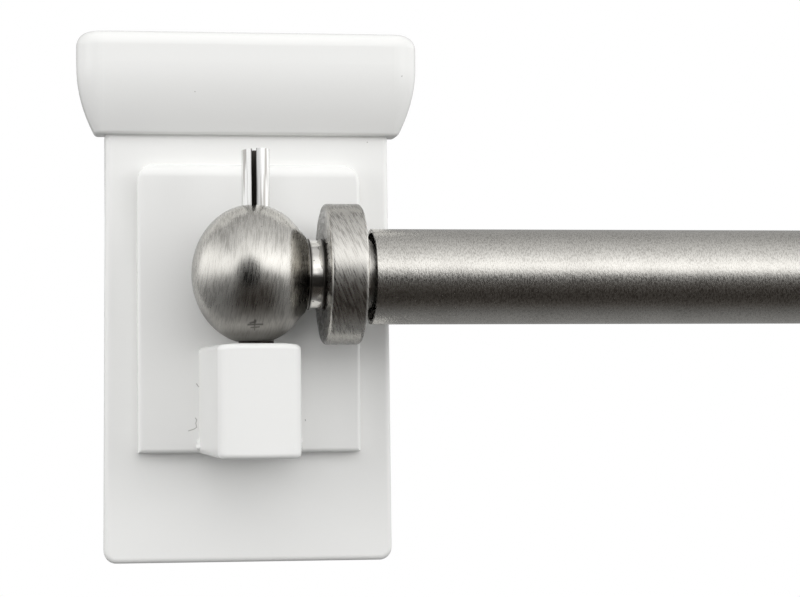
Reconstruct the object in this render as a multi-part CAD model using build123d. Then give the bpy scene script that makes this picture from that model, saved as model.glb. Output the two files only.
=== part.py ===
from build123d import *
import os

# Extendable curtain rod that hooks over a board or rail at both ends, in millimetres.
# X runs along the rod to the right, Y runs back into the board and Z is up.
# The origin is on the left bracket's back face, at its pin and at the height of the ball's centre.

# Rod: two thin tubes, one sliding inside the other
outer_tube_d = 16.0
tube_wall = 0.6
telescope_gap = 0.55  # all round, between the outer tube's bore and the inner tube
pins_apart_closed = 457.0  # from pin to pin with the rod pushed right in
travel = 254.0  # how much longer it pulls out
drawn_out = 60.0  # how far it is pulled out as modelled
least_overlap = 100.0  # of the tubes at full length
closed_gap = 4.0  # from the outer tube's free end to the far collar when pushed in
lip_length = 1.6  # the outer tube's free end is drawn in to steady the inner tube
lip_clearance = 0.10
tube_hangs = 0.4  # the tubes hang this much low on their studs

# Glide on the inner tube's hidden end
glide_head_length = 9.0
glide_stem_length = 12.0
glide_clearance = 0.08

# Ball that turns on the pin, and what stands between it and the tube
ball_d = 23.3
ball_middle = -0.4  # where it is thickest, along the rod
ball_end_length = 10.35  # from there to its round end
ball_shoulder = ((2.7, 11.0), (4.7, 9.95), (6.7, 8.0))  # along the rod and from its axis, before the neck
ball_top_flat_d = 5.2  # faced spots where the pin comes through
ball_low_flat_d = 6.6
ball_foot_d = 5.9  # ring round the pin's bore that the ball stands on
ball_foot = 0.35
ball_end_d = 12.8  # where the ball is cut off square for the neck
pin_to_neck = 8.1
neck_d = 11.9
neck_waist_d = 11.3
neck_rim = 0.6  # width of the raised rims at the neck's ends
neck_end_bevel = 0.25
collar_d = 23.5
collar_thickness = 6.2
collar_edge = 0.6
pin_to_collar = 11.2
boss_d = 13.4
boss_length = 1.0
mouth_gap = 0.9  # from the boss to the tube's mouth
spigot_clearance = 0.05  # inside the thin tube, where that tube hangs
spigot_enters = 1.6
collar_root = 1.0  # how deep boss and spigot are rooted in the collar
stud_d = 6.0
stud_start = 3.6  # from the pin's axis, clear of its bore
plug_length = 12.0
plug_bevel = 0.6

# Pin: a slotted tube of spring steel
pin_d = 4.76
pin_wall = 1.0
pin_length = 50.0
pin_slot = 0.8
pin_bevel = 0.3
pin_stands_up = 20.8  # its top above the ball's centre
pin_end_slant = 5.0  # degrees that its cut-off top rises to the right
pin_slot_turn = -12.0  # degrees that the slot is turned to the left of straight ahead
pin_running_clearance = 0.07

# Bracket moulding: plate, bulging cap and the hook behind it
plate_width = 50.6  # at its lower end
plate_top_width = 49.3
plate_thickness = 4.0
plate_below_axis = 49.5
plate_corner = 2.2
plate_edge = 1.0
cap_bottom_up = 25.0  # cap's lower edge above the ball's centre
cap_height = 17.6
cap_width = 59.4
cap_stands_out = 4.5  # in front of the plate, at its fullest
cap_tuck = 3.2  # how far its lower edge is drawn in
cap_swell_height = 12.0
cap_swell_sections = 5
cap_corner = 4.5
cap_top_edge = 2.5
cap_low_edge = 0.9
hook_gap = 20.0  # board that the hook goes over, with room to spare
hook_thickness = 4.0
hook_lip_length = 26.0  # below the seat
hook_edge = 1.6
hook_bend = 2.4

# Pad and socket, moulded as one and bonded to the plate
pad_width = 38.7
pad_thickness = 3.0
pad_top_up = 19.8
pad_below_axis = 30.2
pad_corner = 3.2
pad_top_round = 2.3
pad_edge = 0.7
pin_off_pad = 12.2  # pin's axis in front of the pad
socket_root_width = 17.7
socket_front_width = 13.5
socket_front_off_pin = 6.4
socket_front_bow = 1.0
socket_corner = 1.8
socket_height = 18.9
socket_seat_width = 6.4  # level middle of its top, under the ball
socket_crown = 0.7  # how far the top falls away to the sides
socket_edge = 0.9
socket_root = 1.0  # how deep it runs into the pad

# Places worked out from the sizes above
pin_r = pin_d / 2
outer_bore_r = outer_tube_d / 2 - tube_wall
inner_tube_r = outer_bore_r - telescope_gap
inner_bore_r = inner_tube_r - tube_wall
spigot_r = inner_bore_r - tube_hangs - spigot_clearance
pad_front_y = -(plate_thickness + pad_thickness)
pin_y = pad_front_y - pin_off_pad
rod_axis = Axis((0, pin_y, 0), (1, 0, 0))
pins_apart = pins_apart_closed + drawn_out
collar_back_x = pin_to_collar + collar_thickness
mouth_x = collar_back_x + boss_length + mouth_gap
spigot_end_x = mouth_x + spigot_enters
ball_top_z = ball_d / 2 * (1 - (ball_top_flat_d / ball_d) ** 2) ** 0.5
ball_low_z = -ball_d / 2 * (1 - (ball_low_flat_d / ball_d) ** 2) ** 0.5
outer_end_x = pins_apart_closed - collar_back_x - closed_gap
inner_length = pins_apart_closed + travel - mouth_x - (outer_end_x - least_overlap)
inner_start_x = pins_apart - mouth_x - inner_length
socket_top_z = ball_low_z - ball_foot
hook_seat_z = cap_bottom_up + cap_height - hook_thickness


def turned(*points):
    """A turned piece: an outline of (along the rod, from its axis) revolved about the ball's axis."""
    plane = Plane((0, pin_y, 0), x_dir=(1, 0, 0), z_dir=(0, -1, 0))
    return revolve(plane * make_face(Polyline(*points, close=True)), rod_axis)


def hung(part):
    """A piece of a tube, lowered to where the tubes hang on their bosses."""
    return Pos(0, 0, -tube_hangs) * part


def bevelled_rod(start, end, radius, bevel):
    """Points of a solid round bar's outline with a bevel at each end."""
    return (
        (start, 0),
        (end, 0),
        (end, radius - bevel),
        (end - bevel, radius),
        (start + bevel, radius),
        (start, radius - bevel),
    )


def bar(start, end, radius):
    """A plain round bar on the rod's axis."""
    return turned((start, 0), (end, 0), (end, radius), (start, radius))


def make_plate():
    """The plate, a little wider below, with rounded lower corners and a soft front edge."""
    top = plate_top_width / 2
    low = plate_width / 2
    outline = Polyline(
        (-low, -plate_below_axis),
        (low, -plate_below_axis),
        (top, hook_seat_z),
        (-top, hook_seat_z),
        close=True,
    )
    plate = extrude(Plane.XZ * make_face(outline), plate_thickness)
    lower = plate.edges().filter_by(Axis.Y).group_by(Axis.Z)[0]
    plate = fillet(lower, plate_corner)
    front = plate.faces().sort_by(Axis.Y)[0]
    return fillet(front.edges(), plate_edge)


def cap_section(height):
    """The cap's outline seen from above, at a height over its lower edge."""
    tuck = cap_tuck * (1 - height / cap_swell_height) ** 2
    depth = plate_thickness + cap_stands_out - tuck
    outline = Pos(0, -depth / 2, cap_bottom_up + height) * Rectangle(cap_width - 2 * tuck, depth)
    corners = outline.vertices().group_by(Axis.Y)[0]
    return fillet(corners, cap_corner - tuck)


def make_cap():
    """The cap: a lower part that swells outwards and an upper part with a rounded top edge."""
    step = cap_swell_height / (cap_swell_sections - 1)
    swell = loft([cap_section(i * step) for i in range(cap_swell_sections)])
    low = [edge for edge in swell.faces().sort_by(Axis.Z)[0].edges() if edge.center().Y < -plate_edge]
    swell = fillet(low, cap_low_edge)
    head = extrude(cap_section(cap_swell_height), cap_height - cap_swell_height, dir=(0, 0, 1))
    top = head.faces().sort_by(Axis.Z)[-1]
    rounded = [edge for edge in top.edges() if edge.center().Y < -hook_edge]
    return fillet(rounded, cap_top_edge) + swell


def make_hook():
    """The arm over the board and the lip behind it, as one bent strip."""
    top = hook_seat_z + hook_thickness
    back = hook_gap + hook_thickness
    inside = -plate_thickness / 2
    strip = Polyline(
        (inside, hook_seat_z),
        (hook_gap, hook_seat_z),
        (hook_gap, hook_seat_z - hook_lip_length),
        (back, hook_seat_z - hook_lip_length),
        (back, top),
        (inside, top),
        close=True,
    )
    hook = extrude(Plane.YZ * make_face(strip), plate_top_width / 2, both=True)
    bend = hook.edges().filter_by(Axis.X).group_by(Axis.Z)[-1].sort_by(Axis.Y)[-1]
    hook = fillet(bend, hook_bend)
    foot = hook.edges().filter_by(Axis.X).group_by(Axis.Z)[0]
    return fillet(foot, hook_edge)


def make_pad():
    """The pad: a side profile with a soft top edge, cut to a front outline with rounded top corners."""
    height = pad_top_up + pad_below_axis
    middle_z = (pad_top_up - pad_below_axis) / 2
    middle_y = pad_front_y + pad_thickness / 2
    side = Pos(0, middle_y, middle_z) * Box(pad_width, pad_thickness, height)
    top_front = side.edges().filter_by(Axis.X).group_by(Axis.Z)[-1].sort_by(Axis.Y)[0]
    side = fillet(top_front, pad_top_round)
    front = Pos(0, middle_y, middle_z) * Box(pad_width, pad_thickness, height)
    front = fillet(front.edges().filter_by(Axis.Y).group_by(Axis.Z)[-1], pad_corner)
    pad = side & front
    face = pad.faces().filter_by(Plane.XZ).sort_by(Axis.Y)[0]
    below_corners = pad_top_up - pad_top_round - pad_corner / 2
    edges = [edge for edge in face.edges() if edge.center().Z < below_corners]
    return fillet(edges, pad_edge)


def crown_arc(side):
    """The fall of the socket's top from its level middle to one side, -1 or 1."""
    start = socket_seat_width / 2
    reach = socket_root_width / 2 - start
    return ThreePointArc(
        (side * start, socket_top_z),
        (side * (start + reach / 2), socket_top_z - socket_crown / 4),
        (side * (start + reach), socket_top_z - socket_crown),
    )


def make_socket():
    """The socket: a block that narrows towards the front, with the pin's hole down through it."""
    front_y = pin_y - socket_front_off_pin
    root_y = pad_front_y + socket_root
    root = socket_root_width / 2
    front = socket_front_width / 2
    low_z = socket_top_z - socket_height
    plan = Polyline(
        (-front, front_y),
        (-root, pad_front_y),
        (-root, root_y),
        (root, root_y),
        (root, pad_front_y),
        (front, front_y),
    )
    bow = ThreePointArc((-front, front_y), (0, front_y - socket_front_bow), (front, front_y))
    block = extrude(Pos(0, 0, low_z) * make_face([plan, bow]), socket_height, dir=(0, 0, 1))
    block = fillet(block.edges().filter_by(Axis.Z).group_by(Axis.Y)[0], socket_corner)
    side_top_z = socket_top_z - socket_crown
    sides = Polyline((-root, side_top_z), (-root, low_z), (root, low_z), (root, side_top_z))
    seat = Line((-socket_seat_width / 2, socket_top_z), (socket_seat_width / 2, socket_top_z))
    elevation = Plane.XZ * make_face([crown_arc(-1), sides, crown_arc(1), seat])
    block &= extrude(elevation, -2 * front_y)
    free = [edge for edge in block.edges() if edge.center().Y < pad_front_y - socket_edge]
    block = fillet([edge for edge in free if not is_upright(edge)], socket_edge)
    hole = Pos(0, pin_y, socket_top_z - socket_height / 2) * Cylinder(pin_r, 2 * socket_height)
    return block - hole


def is_upright(edge):
    """Whether an edge stands upright."""
    way = edge.end_point() - edge.start_point()
    return abs(way.Z) > abs(way.X) + abs(way.Y)


def make_pin():
    """The pin: a rolled tube with a slot down its side, a bevelled foot and a slanting cut-off top."""
    tube = Cylinder(pin_r, pin_length)
    tube = chamfer(tube.edges().filter_by(GeomType.CIRCLE).group_by(Axis.Z)[0], pin_bevel)
    tube -= Cylinder(pin_r - pin_wall, 2 * pin_length)
    tube -= Rot(0, 0, pin_slot_turn) * Pos(0, -pin_r, 0) * Box(pin_slot, 2 * pin_r, 2 * pin_length)
    above = Rot(0, -pin_end_slant, 0) * Pos(0, 0, pin_d) * Box(2 * pin_d, 2 * pin_d, 2 * pin_d)
    tube -= Pos(0, 0, pin_length / 2) * above
    return Pos(0, pin_y, pin_stands_up - pin_length / 2) * tube


def make_ball():
    """The ball: a round end, a shoulder that falls to the neck, and a bore and faced spots for the pin."""
    size = (ball_end_length / (ball_d / 2), 1, 1)
    end = Pos(ball_middle, pin_y, 0) * scale(Sphere(ball_d / 2), by=size)
    end &= Pos(ball_middle - ball_d / 2, pin_y, 0) * Box(ball_d, 2 * ball_d, 2 * ball_d)
    fall = Spline(
        (ball_middle, ball_d / 2),
        *ball_shoulder,
        (pin_to_neck, ball_end_d / 2),
        tangents=((1, 0), (1, -1)),
    )
    close = Polyline(
        (pin_to_neck, ball_end_d / 2),
        (pin_to_neck, 0),
        (ball_middle, 0),
        (ball_middle, ball_d / 2),
    )
    plane = Plane((0, pin_y, 0), x_dir=(1, 0, 0), z_dir=(0, -1, 0))
    ball = end + revolve(plane * make_face([fall, close]), rod_axis)
    height = ball_top_z - ball_low_z
    ball &= Pos(0, pin_y, (ball_top_z + ball_low_z) / 2) * Box(2 * ball_d, 2 * ball_d, height)
    ball += Pos(0, pin_y, socket_top_z / 2) * Cylinder(ball_foot_d / 2, -socket_top_z)
    ball -= Pos(0, pin_y, 0) * Cylinder(pin_r + pin_running_clearance, 2 * ball_d)
    return ball - bar(stud_start, ball_d, stud_d / 2)


def make_neck():
    """The polished sleeve between ball and collar, with a raised rim at each end."""
    body = turned(*bevelled_rod(pin_to_neck, pin_to_collar, neck_d / 2, neck_end_bevel))
    waist = turned(
        (pin_to_neck + neck_rim, neck_waist_d / 2),
        (pin_to_collar - neck_rim, neck_waist_d / 2),
        (pin_to_collar - neck_rim, neck_d),
        (pin_to_neck + neck_rim, neck_d),
    )
    return body - waist - bar(0, collar_back_x, stud_d / 2)


def make_collar():
    """The collar, behind it a boss, and the thinner spigot that enters the tube."""
    disc = bar(pin_to_collar, collar_back_x, collar_d / 2)
    disc = fillet(disc.edges().filter_by(GeomType.CIRCLE), collar_edge)
    boss = bar(collar_back_x - collar_root, collar_back_x + boss_length, boss_d / 2)
    spigot = bar(collar_back_x - collar_root, spigot_end_x, spigot_r)
    return disc + boss + spigot - bar(0, 2 * spigot_end_x, stud_d / 2)


def make_stud():
    """The stud that draws ball, sleeve, collar and plug together."""
    return bar(stud_start, spigot_end_x + plug_length, stud_d / 2)


def make_plug(bore_r):
    """The plug pressed into a tube's end, tapped for the stud."""
    body = turned(*bevelled_rod(spigot_end_x, spigot_end_x + plug_length, bore_r, plug_bevel))
    return hung(body) - bar(0, 2 * (spigot_end_x + plug_length), stud_d / 2)


def make_outer_tube():
    """The outer tube, its free end drawn in to a lip that steadies the inner tube."""
    lip_bore = inner_tube_r + lip_clearance
    draw_in = outer_bore_r - lip_bore
    outer_r = outer_tube_d / 2
    tube = turned(
        (mouth_x, outer_bore_r),
        (outer_end_x - 2 * lip_length, outer_bore_r),
        (outer_end_x - lip_length, lip_bore),
        (outer_end_x, lip_bore),
        (outer_end_x, outer_r - draw_in),
        (outer_end_x - lip_length, outer_r - draw_in),
        (outer_end_x - 2 * lip_length, outer_r),
        (mouth_x, outer_r),
    )
    return hung(tube)


def make_inner_tube():
    """The inner tube."""
    end = inner_start_x + inner_length
    return hung(
        turned(
            (inner_start_x, inner_bore_r),
            (end, inner_bore_r),
            (end, inner_tube_r),
            (inner_start_x, inner_tube_r),
        )
    )


def make_glide():
    """The plastic glide: a stem in the inner tube and a head that slides in the outer one."""
    head_r = outer_bore_r - glide_clearance
    start = inner_start_x - glide_head_length
    stem_end = inner_start_x + glide_stem_length
    glide = turned(
        (start, 0),
        (stem_end, 0),
        (stem_end, inner_bore_r),
        (inner_start_x, inner_bore_r),
        (inner_start_x, head_r),
        (start + plug_bevel, head_r),
        (start, head_r - plug_bevel),
    )
    return hung(glide)


end_parts = {
    "hook_bracket": make_plate() + make_cap() + make_hook(),
    "socket_block": make_pad() + make_socket(),
    "pivot_pin": make_pin(),
    "ball": make_ball(),
    "neck_sleeve": make_neck(),
    "collar": make_collar(),
    "stud": make_stud(),
}
middle = Plane.YZ.offset(pins_apart / 2)
nodes = {f"left_{name}": part for name, part in end_parts.items()}
nodes |= {f"right_{name}": mirror(part, about=middle) for name, part in end_parts.items()}
nodes |= {
    "outer_tube_plug": make_plug(outer_bore_r),
    "inner_tube_plug": mirror(make_plug(inner_bore_r), about=middle),
    "outer_tube": make_outer_tube(),
    "inner_tube": make_inner_tube(),
    "glide": make_glide(),
}

os.makedirs("parts", exist_ok=True)
for name, part in nodes.items():
    export_step(part, f"parts/{name}.step")
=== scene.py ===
# %% [markdown]
# An extendable curtain rod, dressed in Blender.
# Two white moulded brackets hook over a board. Each holds an upright pin, and on the pin turns a
# brushed nickel ball that carries the rod. The solid parts come from the engineering model, so
# their shapes and places are fixed. This lesson lights them, finishes their surfaces and adds
# the small marks that moulding and assembly leave behind.

# %% Load the engineering model
from math import cos, pi, radians, sin

import bpy
import numpy as np
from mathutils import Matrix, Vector


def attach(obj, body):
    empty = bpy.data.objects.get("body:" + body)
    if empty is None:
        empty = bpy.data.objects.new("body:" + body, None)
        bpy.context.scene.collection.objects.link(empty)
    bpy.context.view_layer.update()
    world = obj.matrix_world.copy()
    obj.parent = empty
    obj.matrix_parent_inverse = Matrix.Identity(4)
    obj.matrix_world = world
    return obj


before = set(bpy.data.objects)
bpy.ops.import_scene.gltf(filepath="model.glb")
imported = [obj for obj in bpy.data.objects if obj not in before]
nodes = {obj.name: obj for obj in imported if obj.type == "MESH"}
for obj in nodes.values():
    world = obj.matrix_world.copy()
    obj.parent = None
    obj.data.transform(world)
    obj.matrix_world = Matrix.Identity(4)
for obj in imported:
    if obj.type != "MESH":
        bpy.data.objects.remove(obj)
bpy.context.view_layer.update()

print("pieces in the model:", len(nodes))

# %% [markdown]
# The camera stands low and to the left of the bracket and looks a little to the right and up.
# A long lens keeps the bracket's edges nearly square, as in the photograph, and a small sideways
# shift of the lens keeps the bracket at the left of the picture. The rod runs out at the right.

# %% Camera
FRAME_PX = (800, 597)
FOCAL_PX = 1839.0
SENSOR_MM = 36.0
LENS_AXIS_PX = (280.0, 350.0)
CAMERA_PLACE = (-0.0278, -0.3239, -0.0148)
NEAREST_SEEN = 0.01
YAW_DEG = 5.95
PITCH_DEG = 0.41
ROLL_DEG = 0.25


def add_camera():
    """Camera whose lens axis meets the picture at LENS_AXIS_PX, from the upper left corner."""
    width, height = FRAME_PX
    data = bpy.data.cameras.new("camera")
    data.sensor_width = SENSOR_MM
    data.lens = FOCAL_PX / width * SENSOR_MM
    data.shift_x = (width / 2 - LENS_AXIS_PX[0]) / width
    data.shift_y = (LENS_AXIS_PX[1] - height / 2) / width
    data.clip_start = NEAREST_SEEN
    camera = bpy.data.objects.new("camera", data)
    camera.location = CAMERA_PLACE
    camera.rotation_euler = (radians(90 + PITCH_DEG), radians(ROLL_DEG), radians(-YAW_DEG))
    bpy.context.scene.collection.objects.link(camera)
    bpy.context.scene.camera = camera
    return camera


camera = add_camera()
print("lens", round(camera.data.lens, 1), "mm, shift", round(camera.data.shift_x, 3))

# %% [markdown]
# Shader graphs are easier to read when each node is made, set and wired in one call. `place`
# does that: it takes the node's type, its plain settings and what feeds each input. The other
# helpers each place one kind of node that the finishes below use often.

# %% Helpers for shader graphs


def place(tree, kind, settings=None, **inputs):
    """Add a node; inputs go by socket name with underscores for spaces, or i0, i1 by number."""
    node = tree.nodes.new(kind)
    for name, value in (settings or {}).items():
        setattr(node, name, value)
    for name, value in inputs.items():
        number = name[1:]
        key = int(number) if number.isdigit() else name.replace("_", " ")
        socket = node.inputs[key]
        if isinstance(value, bpy.types.NodeSocket):
            tree.links.new(value, socket)
        else:
            socket.default_value = value
    return node


def sums(tree, operation, *values):
    """A Math node's result."""
    inputs = {f"i{k}": value for k, value in enumerate(values)}
    return place(tree, "ShaderNodeMath", {"operation": operation}, **inputs).outputs[0]


def vectors(tree, operation, *values, **named):
    """A Vector Math node's outputs."""
    inputs = {f"i{k}": value for k, value in enumerate(values)}
    settings = {"operation": operation}
    return place(tree, "ShaderNodeVectorMath", settings, **inputs, **named).outputs


def axis(tree, vector, letter):
    """One of a vector's three numbers."""
    return place(tree, "ShaderNodeSeparateXYZ", Vector=vector).outputs[letter]


def remap(tree, value, low, high, to_low=0.0, to_high=1.0):
    """A value carried smoothly from one range to another."""
    settings = {"interpolation_type": "SMOOTHSTEP"}
    ends = {"From_Min": low, "From_Max": high, "To_Min": to_low, "To_Max": to_high}
    return place(tree, "ShaderNodeMapRange", settings, Value=value, **ends).outputs[0]


def blend(tree, amount, first, second):
    """Mix two colours."""
    settings = {"data_type": "RGBA"}
    return place(tree, "ShaderNodeMix", settings, i0=amount, i6=first, i7=second).outputs[2]


def noise(tree, where, scale, detail, rough=0.5):
    """Noise of scale cells to a metre, with detail finer layers."""
    inputs = {"Vector": where, "Scale": scale, "Detail": detail, "Roughness": rough}
    return place(tree, "ShaderNodeTexNoise", **inputs).outputs[0]


print("graph helpers:", [helper.__name__ for helper in (place, sums, vectors, axis, remap)])

# %% [markdown]
# Polished metal shows its surroundings, so the bands of light and dark on the rod come from the
# world. Two scales describe it. FRONT_BANDS hold the brightness by the angle round the rod: 0 is
# level and in front, 90 is straight up, 180 is level behind, -90 is straight down. SIDE_BANDS
# hold it by the height above the horizon, for what lies far to the left or right. A bright band
# of windows runs above the horizon over a dark brown table, a little brighter on the right. The
# one who takes the picture shades the middle of it, which puts the dark patch on the ball.

# %% Studio bands
STUDIO_PEAK = 1.50
FRONT_BANDS = {
    -180: 0.21,
    -142: 0.17,
    -115: 0.145,
    -95: 0.10,
    -78: 0.055,
    -64: 0.028,
    -50: 0.02,
    -37: 0.024,
    -24: 0.04,
    -12: 0.07,
    -2: 0.15,
    5: 0.44,
    12: 0.86,
    20: 1.0,
    27: 1.0,
    37: 0.80,
    50: 0.63,
    64: 0.49,
    78: 0.42,
    95: 0.325,
    115: 0.27,
    142: 0.26,
    180: 0.21,
}
SIDE_BANDS = {
    -90: 0.07,
    -60: 0.083,
    -40: 0.117,
    -28: 0.11,
    -18: 0.135,
    -8: 0.21,
    -2: 0.41,
    3: 0.79,
    10: 0.90,
    20: 0.93,
    28: 0.66,
    40: 0.40,
    55: 0.38,
    90: 0.40,
}
TABLE_TINT = (1.17, 1.0, 0.86)
TINTED_BELOW = 0.09


def band_colour(level):
    """Grey when bright; the darker the band, the closer it comes to the brown of the table."""
    share = max(0.0, 1 - level / TINTED_BELOW)
    return [level * (1 + share * (tint - 1)) for tint in TABLE_TINT] + [1]


def band_ramp(tree, value, bands):
    """Colour ramp whose stops lie at angles between the first and the last band's."""
    ramp = place(tree, "ShaderNodeValToRGB", Fac=value)
    stops = ramp.color_ramp.elements
    low, high = min(bands), max(bands)
    for degrees, level in bands.items():
        position = (degrees - low) / (high - low)
        ends = {0.0: 0, 1.0: len(stops) - 1}
        stop = stops[ends[position]] if position in ends else stops.new(position)
        stop.color = band_colour(level)
    return ramp.outputs["Color"]


print("studio bands:", len(FRONT_BANDS), "in front,", len(SIDE_BANDS), "to the sides")

# %% [markdown]
# The world puts the two scales together by how far sideways a ray runs. The photographer's shade
# is a soft disc round one direction. The camera itself sees plain white instead of the bands, as
# the photograph has a white background.

# %% Studio surroundings
SIDE_FROM, SIDE_TO = 0.50, 0.88
SHADE_TURN_DEG = -18
SHADE_OUTER_DEG = 33
SHADE_INNER_DEG = 15
SHADE_LEFT = 0.07
RIGHT_GAIN = 0.12


def shaded(tree, way):
    """1 away from the photographer's shade, falling to SHADE_LEFT in its middle."""
    turn = radians(SHADE_TURN_DEG)
    facing = vectors(tree, "DOT_PRODUCT", way, (sin(turn), -cos(turn), 0))["Value"]
    outer, inner = cos(radians(SHADE_OUTER_DEG)), cos(radians(SHADE_INNER_DEG))
    return remap(tree, facing, outer, inner, 1.0, SHADE_LEFT)


def light_studio():
    """World: white to the camera, and the banded studio to everything else."""
    world = bpy.data.worlds.new("studio")
    bpy.context.scene.world = world
    world.use_nodes = True
    tree = world.node_tree
    tree.nodes.clear()
    way = place(tree, "ShaderNodeTexCoord").outputs["Generated"]
    axes = place(tree, "ShaderNodeSeparateXYZ", Vector=way).outputs
    forward = sums(tree, "MULTIPLY", axes["Y"], -1.0)
    round_rod = sums(tree, "ARCTAN2", axes["Z"], forward)
    height = sums(tree, "ARCSINE", axes["Z"])
    front = band_ramp(tree, sums(tree, "MULTIPLY_ADD", round_rod, 0.5 / pi, 0.5), FRONT_BANDS)
    side = band_ramp(tree, sums(tree, "MULTIPLY_ADD", height, 1 / pi, 0.5), SIDE_BANDS)
    sideways = remap(tree, sums(tree, "ABSOLUTE", axes["X"]), SIDE_FROM, SIDE_TO)
    bands = blend(tree, sideways, front, side)
    balance = sums(tree, "MULTIPLY_ADD", axes["X"], RIGHT_GAIN * STUDIO_PEAK, STUDIO_PEAK)
    strength = sums(tree, "MULTIPLY", shaded(tree, way), balance)
    banded = place(tree, "ShaderNodeBackground", Color=bands, Strength=strength)
    plain = place(tree, "ShaderNodeBackground", Color=(1, 1, 1, 1), Strength=1.0)
    seen = place(tree, "ShaderNodeLightPath").outputs["Is Camera Ray"]
    both = place(tree, "ShaderNodeMixShader", i0=seen, i1=banded.outputs[0], i2=plain.outputs[0])
    place(tree, "ShaderNodeOutputWorld", Surface=both.outputs[0])
    return world


print("world:", light_studio().name)

# %% [markdown]
# The world alone lights the white plastic too evenly. A large lamp high up in front throws the
# soft shadows under the pad and the rod, and three small low ones soften them from in front,
# left and right. Metal already mirrors the studio, so all lamps are kept out of its reflections.

# %% Lamps
LAMPS = {
    "key": {"spot": (0.10, -0.74, 0.86), "size": 1.5, "power": 3.5},
    "fill": {"spot": (-0.20, -0.97, 0.14), "size": 0.4, "power": 1.0},
    "left": {"spot": (-1.0, -0.45, 0.25), "size": 0.5, "power": 2.75},
    "right": {"spot": (0.80, -0.65, 0.14), "size": 0.4, "power": 1.9},
}
LAMP_TARGET = Vector((0.03, 0, -0.01))


def add_lamp(name, spot, size, power):
    """A square soft lamp that faces the left bracket."""
    data = bpy.data.lights.new(name, "AREA")
    data.size = size
    data.energy = power
    lamp = bpy.data.objects.new(name, data)
    lamp.location = spot
    lamp.rotation_euler = (LAMP_TARGET - Vector(spot)).to_track_quat("-Z", "Y").to_euler()
    lamp.visible_glossy = False
    bpy.context.scene.collection.objects.link(lamp)


for name, lamp in LAMPS.items():
    add_lamp(name, **lamp)
print("lamps:", list(LAMPS))

# %% [markdown]
# The brackets hang on a board, so the floor lies well below them. To the camera it is near white
# and lifted a little, so that it meets the white background unseen. To the light it is a dark
# table, which sends little back up and keeps the shadow under the pad dark.

# %% Floor
FLOOR_DROP = 0.40
FLOOR_REACH = 2.2
FLOOR_LIFT = 0.45
FLOOR_ROUGH = 0.8
FLOOR_SEEN = (0.86, 0.86, 0.86, 1)
FLOOR_DARK = (0.22, 0.22, 0.22, 1)


def paint_floor():
    """Dull paint, near white and faintly glowing to the camera, and dark to all other rays."""
    material = bpy.data.materials.new("floor")
    material.use_nodes = True
    tree = material.node_tree
    tree.nodes.clear()
    seen = place(tree, "ShaderNodeLightPath").outputs["Is Camera Ray"]
    paint = place(
        tree,
        "ShaderNodeBsdfPrincipled",
        Base_Color=blend(tree, seen, FLOOR_DARK, FLOOR_SEEN),
        Roughness=FLOOR_ROUGH,
        Emission_Color=(1, 1, 1, 1),
        Emission_Strength=sums(tree, "MULTIPLY", seen, FLOOR_LIFT),
    )
    place(tree, "ShaderNodeOutputMaterial", Surface=paint.outputs[0])
    return material


def add_floor():
    """A wide flat floor, left out of reflections, where it would hide the dark table front."""
    side = np.array([-FLOOR_REACH, FLOOR_REACH])
    x, y = np.meshgrid(side, side)
    corners = np.stack([x, y, np.full_like(x, -FLOOR_DROP)], -1).reshape(-1, 3)
    mesh = bpy.data.meshes.new("floor")
    mesh.from_pydata(corners.tolist(), [], [(0, 1, 3, 2)])
    mesh.materials.append(paint_floor())
    floor = bpy.data.objects.new("floor", mesh)
    bpy.context.scene.collection.objects.link(floor)
    floor.visible_glossy = False
    return floor


add_floor()
print("floor at", -FLOOR_DROP, "m")

# %% [markdown]
# A finish is easier to share when it comes as a node group. The next cells make three of them:
# brushed lines, spots and a scratch. Each returns plain numbers, and each material decides what
# it does with them.

# %% Make and use a group


def new_group(name, inputs, outputs):
    """Shader node group with inputs (name: default) and float outputs, and its two ends."""
    group = bpy.data.node_groups.new(name, "ShaderNodeTree")
    for label, default in inputs.items():
        kind = "NodeSocketVector" if isinstance(default, tuple) else "NodeSocketFloat"
        socket = group.interface.new_socket(label, in_out="INPUT", socket_type=kind)
        socket.default_value = default
    for label in outputs:
        group.interface.new_socket(label, in_out="OUTPUT", socket_type="NodeSocketFloat")
    source = group.nodes.new("NodeGroupInput")
    sink = group.nodes.new("NodeGroupOutput")
    return group, source.outputs, sink.inputs


def use(tree, group, **inputs):
    """Place a group and return its outputs."""
    return place(tree, "ShaderNodeGroup", {"node_tree": group}, **inputs).outputs


ORIGIN = (0.0, 0.0, 0.0)
print("group helpers:", new_group.__name__, "and", use.__name__)

# %% [markdown]
# Brushing is a field of fine scratches that all run the same way. On this rod they run round the
# tube, the ball and the collar, because each was polished while it turned. Noise that is
# stretched round the rod and squeezed along it gives such lines. The group returns the lines and
# a slower mottling.

# %% Brushed lines
LINES_ROUGH = 0.6
LINES_DETAIL = 3.0


def make_brushing():
    """Noise, Along cells to a metre on X and Across on Y and Z, and Mottle cells all round."""
    defaults = {"Vector": ORIGIN, "Along": 4500.0, "Across": 260.0, "Mottle": 140.0}
    group, given, result = new_group("Brushed lines", defaults, ["Lines", "Mottling"])
    cells = {"X": given["Along"], "Y": given["Across"], "Z": given["Across"]}
    squeeze = place(group, "ShaderNodeCombineXYZ", **cells).outputs[0]
    squeezed = vectors(group, "MULTIPLY", given["Vector"], squeeze)[0]
    lines = noise(group, squeezed, 1.0, LINES_DETAIL, LINES_ROUGH)
    cloud = noise(group, given["Vector"], given["Mottle"], LINES_DETAIL)
    group.links.new(lines, result["Lines"])
    group.links.new(cloud, result["Mottling"])
    return group


brushing = make_brushing()
print("group:", brushing.name)

# %% [markdown]
# Small round blemishes serve twice: as pits in the metal and as dust specks in the white
# plastic. Voronoi cells give one spot each, and only the cells whose random colour passes a
# limit keep theirs, so the spots are few and irregular.

# %% Spots


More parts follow.
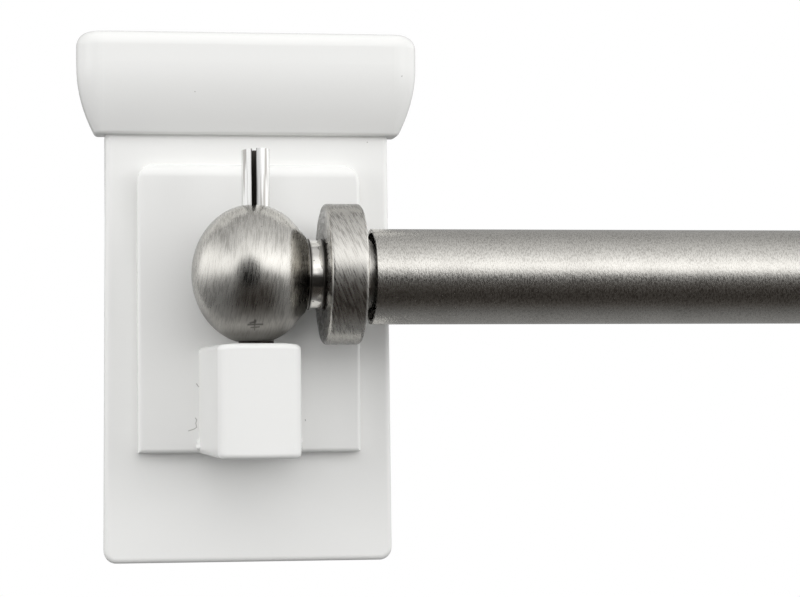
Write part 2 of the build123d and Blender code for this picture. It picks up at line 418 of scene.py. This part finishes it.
def make_spots():
    """One spot in a share of the Voronoi cells, with a soft rim Size metres from its middle."""
    defaults = {"Vector": ORIGIN, "Scale": 400.0, "Size": 0.0002, "Share": 0.2}
    group, given, result = new_group("Spots", defaults, ["Mask"])
    inputs = {"Vector": given["Vector"], "Scale": given["Scale"]}
    cells = place(group, "ShaderNodeTexVoronoi", **inputs).outputs
    away = sums(group, "DIVIDE", cells["Distance"], given["Scale"])
    spot = remap(group, away, given["Size"], 0.0)
    kept = sums(group, "LESS_THAN", axis(group, cells["Color"], "X"), given["Share"])
    group.links.new(sums(group, "MULTIPLY", spot, kept), result["Mask"])
    return group


spots = make_spots()
print("group:", spots.name)

# %% [markdown]
# A single scratch is a short line on the surface. Its mask is one where a point lies close to
# the line between two given ends and falls to zero within the line's width.

# %% Scratch


def make_scratch():
    """Mask of points within Width of the straight line From-To."""
    defaults = {"Vector": ORIGIN, "From": ORIGIN, "To": ORIGIN, "Width": 0.0002}
    group, given, result = new_group("Scratch", defaults, ["Mask"])
    line = vectors(group, "SUBTRACT", given["To"], given["From"])[0]
    offset = vectors(group, "SUBTRACT", given["Vector"], given["From"])[0]
    along = vectors(group, "DOT_PRODUCT", offset, line)["Value"]
    whole = vectors(group, "DOT_PRODUCT", line, line)["Value"]
    share = place(group, "ShaderNodeClamp", Value=sums(group, "DIVIDE", along, whole)).outputs[0]
    nearest = vectors(group, "SCALE", line, Scale=share)[0]
    away = vectors(group, "LENGTH", vectors(group, "SUBTRACT", offset, nearest)[0])["Value"]
    group.links.new(remap(group, away, given["Width"], 0.0), result["Mask"])
    return group


scratch = make_scratch()
print("group:", scratch.name)

# %% [markdown]
# Every finish is one Principled shader. `finish` makes the material, hands the graph to a short
# recipe that returns what feeds the shader, and sets every plain number on the shader itself.
# `bump` turns a pattern into relief of a given depth.

# %% Material maker


def bump(tree, height, distance, **normal):
    """Relief of a given depth in metres, on top of another relief where Normal names one."""
    inputs = {"Height": height, "Distance": distance, "Strength": 1.0}
    return place(tree, "ShaderNodeBump", **inputs, **normal).outputs[0]


def finish(name, recipe, **settings):
    """A material: recipe(tree, place on the piece) returns what varies, settings are numbers."""
    material = bpy.data.materials.new(name)
    material.use_nodes = True
    tree = material.node_tree
    tree.nodes.clear()
    where = place(tree, "ShaderNodeTexCoord").outputs["Object"]
    shader = place(tree, "ShaderNodeBsdfPrincipled", **recipe(tree, where), **settings)
    place(tree, "ShaderNodeOutputMaterial", Surface=shader.outputs[0])
    return material


print("material maker:", finish.__name__)

# %% [markdown]
# The bracket is glossy white plastic straight from the mould. Gloss shows how flat a surface is,
# so its relief is kept very faint. A few dark specks are moulded in. Threads of glue and a hair
# lie beside the left socket, where it was bonded on: they are drawn as short scratches, each
# given by its two ends in millimetres along and up the bracket's front.

# %% White moulding
PLASTIC_WHITE = (0.87, 0.87, 0.855, 1)
PLASTIC_IOR = 1.5
SPECK_BROWN = (0.20, 0.19, 0.17, 1)
SPECKS = {"Scale": 110.0, "Size": 0.00016, "Share": 0.05}
SPECK_COVER = 0.7
WAVES = {"scale": 90.0, "detail": 1.0}
WAVE_DEPTH = 0.00001
WAVE_GLOSS = (0.2, 0.8, 0.24, 0.27)
HAIRS_MM = [
    ((-9.26, -18.3), (-8.90, -18.8)),
    ((-9.48, -24.2), (-9.26, -24.5)),
    ((-9.26, -24.5), (-9.41, -25.1)),
    ((-9.41, -25.1), (-9.27, -25.8)),
    ((-9.27, -25.8), (-9.72, -26.1)),
    ((-9.72, -26.1), (-10.66, -26.4)),
    ((9.60, -24.6), (9.62, -24.8)),
    ((26.61, 35.0), (26.7, 35.1)),
    ((-9.40, 32.0), (-9.35, 32.0)),
    ((21.10, 24.0), (21.2, 24.0)),
]
HAIR_WIDTH = 0.00013
BRACKET_FRONT = -0.0039


def marks(tree, where, ends_mm, width, front):
    """Mask of short strokes seen from in front, on surfaces that lie nearer than front."""
    flat = vectors(tree, "MULTIPLY", where, (1, 0, 1))[0]
    total = 0.0
    for start, end in ends_mm:
        first = (start[0] / 1000, 0, start[1] / 1000)
        last = (end[0] / 1000, 0, end[1] / 1000)
        stroke = use(tree, scratch, Vector=flat, From=first, To=last, Width=width)["Mask"]
        total = sums(tree, "MAXIMUM", total, stroke)
    nearer = sums(tree, "LESS_THAN", axis(tree, where, "Y"), front)
    return sums(tree, "MULTIPLY", total, nearer)


def white_plastic(tree, where):
    """Glossy white with specks and hairs, in very faint waves."""
    specks = use(tree, spots, Vector=where, **SPECKS)["Mask"]
    hairs = marks(tree, where, HAIRS_MM, HAIR_WIDTH, BRACKET_FRONT)
    darkening = sums(tree, "MULTIPLY", sums(tree, "MAXIMUM", specks, hairs), SPECK_COVER)
    waves = noise(tree, where, **WAVES)
    return {
        "Base_Color": blend(tree, darkening, PLASTIC_WHITE, SPECK_BROWN),
        "Roughness": remap(tree, waves, *WAVE_GLOSS),
        "Normal": bump(tree, waves, WAVE_DEPTH),
    }


white_moulding = finish("white_moulding", white_plastic, IOR=PLASTIC_IOR)
print("finish:", white_moulding.name)

# %% [markdown]
# Brushed nickel is warm grey metal. The lines change its colour and its roughness and tilt the
# surface a little, which breaks the edge of every highlight into fine grain, as on the tube in
# the photograph. Each brushed part has its own fineness (cells to a metre along the rod and
# across it), depth of relief, least roughness and unevenness.

# %% Brushed nickel
NICKEL = (0.78, 0.76, 0.715, 1)
PORE_DARK = (0.46, 0.445, 0.415, 1)
PORE_FAINT = (0.54, 0.525, 0.49, 1)
# Near black: real dirt and pits, and painted shade on the ball, collar, neck and pin.
DIRT_AND_SHADE = (0.05, 0.045, 0.04, 1)
LINE_RANGE = (0.34, 0.58)
MOTTLE_RANGE = (0.3, 0.7)
LINE_SHARE = 0.8
TUBE_GRAIN = {"along": 6200.0, "across": 2300.0, "depth": 0.00003, "rough": 0.12, "uneven": 0.17}


def brushed_metal(tree, where, pore, along, across, depth, rough, uneven):
    """Shared part of every brushed finish: its colour, roughness and normal."""
    grain = use(tree, brushing, Vector=where, Along=along, Across=across)
    shade = remap(tree, grain["Lines"], *LINE_RANGE)
    cloud = sums(tree, "MULTIPLY", remap(tree, grain["Mottling"], *MOTTLE_RANGE), 1 - LINE_SHARE)
    light = sums(tree, "MULTIPLY_ADD", shade, LINE_SHARE, cloud)
    return {
        "Base_Color": blend(tree, light, pore, NICKEL),
        "Roughness": sums(tree, "MULTIPLY_ADD", shade, uneven, rough),
        "Normal": bump(tree, grain["Lines"], depth),
    }


def tube_nickel(tree, where):
    """Fine even grain."""
    return brushed_metal(tree, where, PORE_DARK, **TUBE_GRAIN)


tube_finish = finish("tube_nickel", tube_nickel, Metallic=1.0)
print("finish:", tube_finish.name)

# %% [markdown]
# Both ends of the rod are alike, so the zones of painted shade and of dullness are given by the
# distance from the rod's middle or from the line of the pins, and by the height. A zone is four
# numbers: where it starts and where it is full, then its strength at the one and at the other.

# %% Zones of painted shade
PIN_Y = -0.0192
MIDDLE_X = 0.2585


def off_middle(tree, where):
    """Distance from the rod's middle along it, the same at both ends."""
    return sums(tree, "ABSOLUTE", sums(tree, "SUBTRACT", axis(tree, where, "X"), MIDDLE_X))


def lean(tree, where, degrees):
    """The place on the piece, turned so that a pattern on it leans."""
    turned = {"Vector": where, "Rotation": (0, radians(degrees), 0)}
    return place(tree, "ShaderNodeMapping", **turned).outputs[0]


def soil_and_shade(tree, parts, masks):
    """Darken a finish by the strongest of its masks: real dirt and pits, and painted shade."""
    wear_and_shade = masks[0]
    for mask in masks[1:]:
        wear_and_shade = sums(tree, "MAXIMUM", wear_and_shade, mask)
    parts["Base_Color"] = blend(tree, wear_and_shade, parts["Base_Color"], DIRT_AND_SHADE)
    return parts


print("pins at", round(2 * MIDDLE_X, 3), "m from each other")

# %% [markdown]
# The ball was polished by hand: its lines lean a little. Painted shade darkens its foot on the
# socket, its underside, its back and its side by the neck, and its underside is duller. Low on
# its front is a small star of scratches.

# %% Ball
BALL_LEAN_DEG = -8
BALL_GRAIN = {"along": 5200.0, "across": 420.0, "depth": 0.000006, "rough": 0.18, "uneven": 0.10}
BALL_PITS = {"Scale": 500.0, "Size": 0.00022, "Share": 0.12}
BALL_PIT_COVER = 0.5
STAR_MM = [
    ((-2.0, -8.55), (0.3, -8.5)),
    ((-0.95, -7.9), (-0.9, -9.4)),
    ((-1.5, -9.0), (-0.2, -8.9)),
    ((-1.7, -8.3), (-0.9, -8.1)),
]
STAR_WIDTH = 0.00034
STAR_COVER = 0.74
# Painted shade: the ball's foot on the socket, its underside, its back and its side by the neck.
BALL_FOOT_SHADE = (-0.0108, -0.0112, 0.0, 1.0)
BALL_UNDER_SHADE = (-0.0074, -0.0102, 0.0, 0.60)
BALL_BACK_SHADE = (PIN_Y - 0.0060, PIN_Y - 0.0006, 0.0, 0.6)
BALL_SHADE_BY_NECK = (MIDDLE_X - 0.0046, MIDDLE_X - 0.0082, 0.0, 0.60)
NECK_SIDE_LOW = (0.0015, -0.0012, 0.2, 1.6)
NECK_SIDE_HIGH = (-0.0058, -0.0030, 0.3, 1.0)
BALL_DULL = (-0.0040, -0.0080, 0.0, 0.22)


def ball_nickel(tree, where):
    """Brushed nickel with pits and a star, painted shade below, behind and by the neck, duller
    below.
    """
    parts = brushed_metal(tree, lean(tree, where, BALL_LEAN_DEG), PORE_FAINT, **BALL_GRAIN)
    height = axis(tree, where, "Z")
    # Painted shade by the neck, kept below the highlight by two height zones.
    shade_by_neck = remap(tree, off_middle(tree, where), *BALL_SHADE_BY_NECK)
    for zone in (NECK_SIDE_LOW, NECK_SIDE_HIGH):
        shade_by_neck = sums(tree, "MULTIPLY", shade_by_neck, remap(tree, height, *zone))
    star = marks(tree, where, STAR_MM, STAR_WIDTH, PIN_Y)
    pits = use(tree, spots, Vector=where, **BALL_PITS)["Mask"]
    # The star and the pits are real marks; the foot, underside and back zones are painted shade.
    masks = [
        shade_by_neck,
        sums(tree, "MULTIPLY", star, STAR_COVER),
        sums(tree, "MULTIPLY", pits, BALL_PIT_COVER),
        remap(tree, height, *BALL_FOOT_SHADE),
        remap(tree, height, *BALL_UNDER_SHADE),
        remap(tree, axis(tree, where, "Y"), *BALL_BACK_SHADE),
    ]
    dull = remap(tree, height, *BALL_DULL)
    parts["Roughness"] = sums(tree, "ADD", parts["Roughness"], dull)
    return soil_and_shade(tree, parts, masks)


ball_finish = finish("ball_nickel", ball_nickel, Metallic=1.0)
print("finish:", ball_finish.name)

# %% [markdown]
# The collar was filed as well as turned, so its lines lean over. Turning the pattern before it
# reaches the brushing group leans them. Painted shade darkens it behind, towards the pad.

# %% Collar
COLLAR_LEAN_DEG = 22
COLLAR_GRAIN = {"along": 3800.0, "across": 420.0, "depth": 0.000014, "rough": 0.16, "uneven": 0.18}
COLLAR_PITS = {"Scale": 700.0, "Size": 0.00020, "Share": 0.15}
COLLAR_PIT_COVER = 0.6
COLLAR_BACK_SHADE = (PIN_Y - 0.0085, PIN_Y - 0.0012, 0.0, 0.8)


def collar_nickel(tree, where):
    """Coarser leaning lines with pits."""
    parts = brushed_metal(tree, lean(tree, where, COLLAR_LEAN_DEG), PORE_DARK, **COLLAR_GRAIN)
    pits = use(tree, spots, Vector=where, **COLLAR_PITS)["Mask"]
    # Painted shade on the back half, towards the pad.
    back = remap(tree, axis(tree, where, "Y"), *COLLAR_BACK_SHADE)
    return soil_and_shade(tree, parts, [sums(tree, "MULTIPLY", pits, COLLAR_PIT_COVER), back])


collar_finish = finish("collar_nickel", collar_nickel, Metallic=1.0)
print("finish:", collar_finish.name)

# %% [markdown]
# The neck sleeve is polished but pitted. Painted shade darkens its two rims. A brown band of
# painted reflection runs along it a little below the middle, where the photograph shows a
# dark band.

# %% Neck
NECK_NICKEL = (0.82, 0.80, 0.76, 1)
NECK_PITS = {"Scale": 900.0, "Size": 0.00022, "Share": 0.3}
NECK_PIT_COVER = 0.8
NECK_PIT_DEPTH = 0.00004
NECK_WAVES = {"scale": 330.0, "detail": 1.0}
NECK_WAVE_DEPTH = 0.0004
NECK_CLEAN_ROUGH, NECK_DARKENED_ROUGH = 0.12, 0.5
# Painted shade: a line at each rim, by its distance from the pin, and the line's width.
RIM_SHADE_LINES = {0.0086: 0.0005, 0.0109: 0.0006}
# Painted reflection: a dark band along the neck, a little below the middle.
REFLECTION_TOP = -0.0003
REFLECTION_LOW = -0.0021
REFLECTION_EDGE = 0.0005
REFLECTION_COVER = 0.85


def reflected_dark_band(tree, where):
    """Painted dark reflection: a band between a top and a low height, with soft edges."""
    height = axis(tree, where, "Z")
    upper = remap(tree, height, REFLECTION_TOP, REFLECTION_TOP - REFLECTION_EDGE)
    lower = remap(tree, height, REFLECTION_LOW - REFLECTION_EDGE, REFLECTION_LOW, 0.0, REFLECTION_COVER)
    return sums(tree, "MULTIPLY", upper, lower)


def pitted_nickel(tree, where):
    """Polished nickel with pits, painted shade on the rims and a band of painted reflection."""
    pits = use(tree, spots, Vector=where, **NECK_PITS)["Mask"]
    darkening = sums(tree, "MAXIMUM", sums(tree, "MULTIPLY", pits, NECK_PIT_COVER), reflected_dark_band(tree, where))
    away = off_middle(tree, where)
    # Painted shade along the rims where the neck meets the ball and the collar.
    for line, width in RIM_SHADE_LINES.items():
        off_line = sums(tree, "ABSOLUTE", sums(tree, "SUBTRACT", away, MIDDLE_X - line))
        darkening = sums(tree, "MAXIMUM", darkening, remap(tree, off_line, width, 0.0))
    waves = bump(tree, noise(tree, where, **NECK_WAVES), NECK_WAVE_DEPTH)
    return {
        "Base_Color": blend(tree, darkening, NECK_NICKEL, DIRT_AND_SHADE),
        "Roughness": remap(tree, darkening, 0.0, 1.0, NECK_CLEAN_ROUGH, NECK_DARKENED_ROUGH),
        "Normal": bump(tree, pits, -NECK_PIT_DEPTH, Normal=waves),
    }


neck_finish = finish("neck_nickel", pitted_nickel, Metallic=1.0)
print("finish:", neck_finish.name)

# %% [markdown]
# The pin is rolled from bright plated strip. Outside it is almost a mirror, a little uneven from
# the rolling. Its slot and bore are painted near black and dull as shade, and a point counts as
# inside when it lies closer to the pin's axis than the plated surface.

# %% Pin
PLATED_FROM = 0.00226
PLATED_EDGE = 0.00006
PLATE_DULL = (0.42, 0.41, 0.39, 1)
PLATE_BRIGHT = (0.78, 0.78, 0.77, 1)
PLATE_ROUGH, INSIDE_ROUGH = 0.10, 0.9
DENT_CELLS = (1500, 1500, 70)
DENT_DETAIL = 2.0
DENT_RANGE = (0.36, 0.52)
DENT_DEPTH = 0.00005


def off_pin(tree, where):
    """Distance from the axis of the nearer pin."""
    side = sums(tree, "SUBTRACT", off_middle(tree, where), MIDDLE_X)
    deep = sums(tree, "SUBTRACT", axis(tree, where, "Y"), PIN_Y)
    squares = sums(tree, "MULTIPLY_ADD", side, side, sums(tree, "MULTIPLY", deep, deep))
    return sums(tree, "SQRT", squares)


def bright_plate(tree, where):
    """Bright plating outside, painted shade in the slot and the bore."""
    uneven = place(tree, "ShaderNodeMapping", Vector=where, Scale=DENT_CELLS).outputs[0]
    dents = noise(tree, uneven, 1.0, DENT_DETAIL)
    # Painted shade inside the slot and the bore: near black, dull and not metal.
    shaded_inside = remap(tree, off_pin(tree, where), PLATED_FROM, PLATED_FROM - PLATED_EDGE)
    plate = blend(tree, remap(tree, dents, *DENT_RANGE), PLATE_DULL, PLATE_BRIGHT)
    return {
        "Base_Color": blend(tree, shaded_inside, plate, DIRT_AND_SHADE),
        "Metallic": sums(tree, "SUBTRACT", 1.0, shaded_inside),
        "Roughness": remap(tree, shaded_inside, 0.0, 1.0, PLATE_ROUGH, INSIDE_ROUGH),
        "Normal": bump(tree, dents, DENT_DEPTH),
    }


pin_finish = finish("bright_pin", bright_plate)
print("finish:", pin_finish.name)

# %% [markdown]
# The studs, the plugs and the glide are hidden inside the tubes. They get plain workshop
# finishes: cloudy zinc on the studs, and dull black plastic on the others.

# %% Stud and plug
ZINC_DARK, ZINC_LIGHT = (0.50, 0.50, 0.50, 1), (0.66, 0.66, 0.67, 1)
ZINC_CELLS = {"Along": 1500.0, "Across": 900.0}
ZINC_GLOSS = (0.3, 0.7, 0.30, 0.42)
NYLON_DARK, NYLON_LIGHT = (0.025, 0.025, 0.026, 1), (0.04, 0.04, 0.042, 1)
NYLON_NOISE = {"scale": 3000.0, "detail": 1.0}
NYLON_GLOSS = (0.3, 0.7, 0.45, 0.6)
NYLON_DEPTH = 0.00001


def zinc(tree, where):
    """Cloudy zinc plate."""
    grain = use(tree, brushing, Vector=where, **ZINC_CELLS)
    return {
        "Base_Color": blend(tree, grain["Mottling"], ZINC_DARK, ZINC_LIGHT),
        "Roughness": remap(tree, grain["Lines"], *ZINC_GLOSS),
    }


def dark_nylon(tree, where):
    """Black plastic with a fine grain."""
    fine = noise(tree, where, **NYLON_NOISE)
    return {
        "Base_Color": blend(tree, fine, NYLON_DARK, NYLON_LIGHT),
        "Roughness": remap(tree, fine, *NYLON_GLOSS),
        "Normal": bump(tree, fine, NYLON_DEPTH),
    }


stud_finish = finish("zinc_stud", zinc, Metallic=1.0)
plug_finish = finish("plug_nylon", dark_nylon)
print("finishes:", stud_finish.name, "and", plug_finish.name)

# %% [markdown]
# Each part of the model now takes its finish. Both ends of the rod are made of the same parts, so
# the names are looked up without their side.

# %% Dress the parts
FINISHES = {
    "hook_bracket": white_moulding,
    "socket_block": white_moulding,
    "pivot_pin": pin_finish,
    "ball": ball_finish,
    "neck_sleeve": neck_finish,
    "collar": collar_finish,
    "stud": stud_finish,
    "outer_tube_plug": plug_finish,
    "inner_tube_plug": plug_finish,
    "outer_tube": tube_finish,
    "inner_tube": tube_finish,
    "glide": plug_finish,
}

for name, part in nodes.items():
    plain = name.removeprefix("left_").removeprefix("right_")
    for slot in part.material_slots:
        slot.material = FINISHES[plain]
print("dressed", len(nodes), "parts")

# %% [markdown]
# Where the socket is bonded on its pad, a little plastic was squeezed out. It runs as a thin,
# lumpy ridge down both sides of the socket and swells near the lower corners. Each ridge is a
# closed tube round a line that runs down the joint, and sines of different pitch make it lumpy.

# %% Shape of a ridge
RIDGE_RINGS = 90
RIDGE_SIDES = 14
RIDGE_THIN = 0.00016
RIDGE_DEEPER = 1.2
RIDGE_TOP = -0.0135
RIDGE_LOW = -0.0300
SWELL_FROM, SWELL_TO = 0.76, 0.97
TIP_TOP, TIP_LOW = 0.05, 0.94
PAD_FRONT = -0.0070
SOCKET_SIDE = 0.0086
LUMPS = ((23.0, 1.0, 0.20), (57.0, 2.0, 0.16), (97.0, -1.0, 0.10))


def rise(value, start, end):
    """Smooth step from 0 at start to 1 at end."""
    share = np.clip((value - start) / (end - start), 0, 1)
    return share * share * (3 - 2 * share)


def ridge_points(centre_x, side, swell, phase):
    """Rings of radius r(s) times 1 plus each lump's depth times sin(pitch s + turns t)."""
    around = np.arange(RIDGE_SIDES) * 2 * pi / RIDGE_SIDES
    s, t = np.meshgrid(np.linspace(0, 1, RIDGE_RINGS), around, indexing="ij")
    lumps = 1 + sum(depth * np.sin(pitch * s + turns * t + phase) for pitch, turns, depth in LUMPS)
    tips = np.sqrt(rise(s, 0, TIP_TOP) * rise(s, 1, TIP_LOW))
    radius = (RIDGE_THIN + swell * rise(s, SWELL_FROM, SWELL_TO)) * lumps * tips
    x = centre_x + side * SOCKET_SIDE + radius * np.cos(t)
    y = PAD_FRONT + RIDGE_DEEPER * radius * np.sin(t)
    z = RIDGE_TOP + (RIDGE_LOW - RIDGE_TOP) * s + 0 * t
    return np.stack([x, y, z], -1).reshape(-1, 3)


def ridge_faces():
    """Four-cornered faces between each ring and the next."""
    faces = []
    for ring in range(RIDGE_RINGS - 1):
        here = ring * RIDGE_SIDES
        after = here + RIDGE_SIDES
        for k in range(RIDGE_SIDES):
            turn = (k + 1) % RIDGE_SIDES
            faces.append((here + k, after + k, after + turn, here + turn))
    return faces


print("a ridge has", len(ridge_faces()), "faces")

# %% [markdown]
# The two ridges of a bracket differ: the left one swells more, and each has its own phase, so
# that their lumps don't match. Both ride with their bracket and share its white plastic.

# %% Squeezed-out ridges
ENDS = {"left": 0.0, "right": 2 * MIDDLE_X}
RIDGES = {
    "a": {"side": -1, "swell": 0.00070, "phase": 0.4},
    "b": {"side": 1, "swell": 0.00045, "phase": 2.1},
}


def add_ridge(name, body, centre_x, **shape):
    """One smooth ridge in white moulding that moves with its bracket."""
    faces = ridge_faces()
    mesh = bpy.data.meshes.new(name)
    mesh.from_pydata(ridge_points(centre_x, **shape).tolist(), [], faces)
    mesh.polygons.foreach_set("use_smooth", [True] * len(faces))
    mesh.materials.append(white_moulding)
    ridge = bpy.data.objects.new(name, mesh)
    bpy.context.scene.collection.objects.link(ridge)
    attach(ridge, body)


for end, centre_x in ENDS.items():
    for letter, shape in RIDGES.items():
        add_ridge(f"{end}_ridge_{letter}", f"{end}_bracket", centre_x, **shape)
print("ridges:", len(ENDS) * len(RIDGES))

# %% [markdown]
# Last, the picture settings.

# %% Close
bpy.context.scene.view_settings.view_transform = "Standard"
